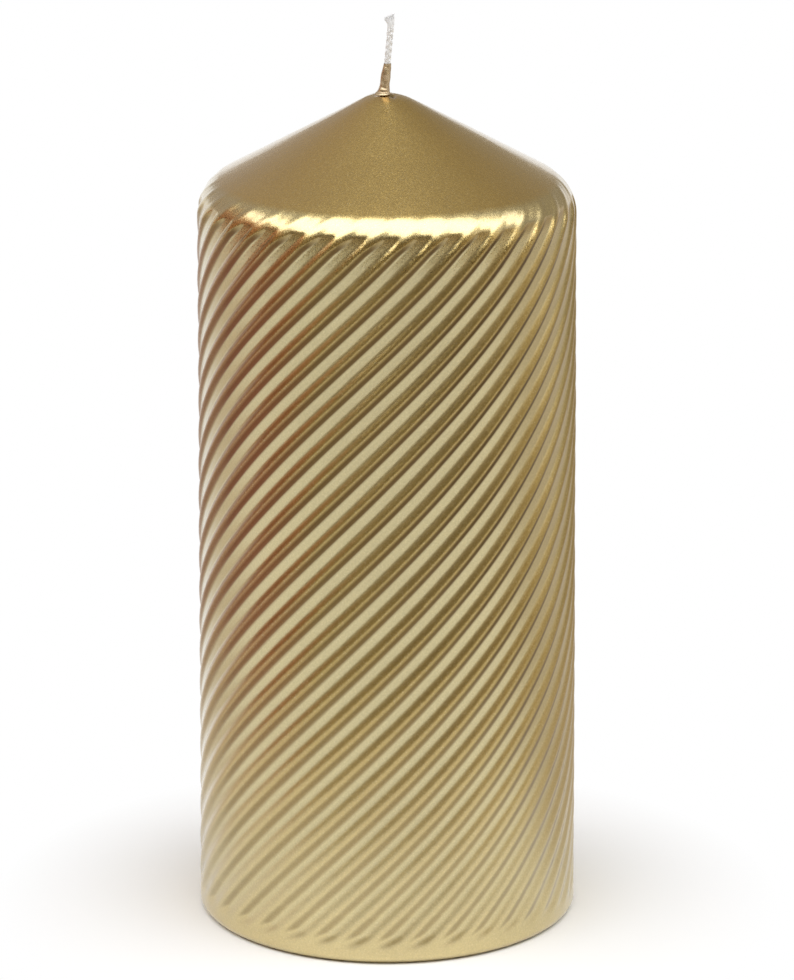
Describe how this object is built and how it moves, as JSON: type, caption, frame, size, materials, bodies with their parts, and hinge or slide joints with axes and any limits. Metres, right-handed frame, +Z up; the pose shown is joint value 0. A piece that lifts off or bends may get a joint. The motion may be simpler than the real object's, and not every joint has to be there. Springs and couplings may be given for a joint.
{
  "type": "pillar candle",
  "caption": "Free-standing round pillar candle with spiral ribs, a smooth conical top, a metallic lacquered skin over a pale wax core, and a braided wick.",
  "frame": {"origin": "centre of the flat base, on the surface that the candle stands on", "axes": "+Z up along the candle's axis, towards the wick; the wick leans towards +X, and the picture looks along +Y"},
  "size_m": [0.068, 0.068, 0.1635],
  "materials": {
    "wax": "pale pressed wax, matt, slightly translucent",
    "lacquered_skin": "satin metallic gold lacquer with fine flake, over dipped wax",
    "cotton": "braided cotton, unburnt, frayed at the tip",
    "lacquered_wick": "glossy metallic gold lacquer, hardened on cotton",
    "steel": "stamped tinned steel sheet"
  },
  "bodies": {
    "root": {"wax_core": "wax", "gold_skin": "lacquered_skin", "wick": "cotton", "wick_collar": "lacquered_wick", "wick_sustainer": "steel"}
  },
  "joints": []
}
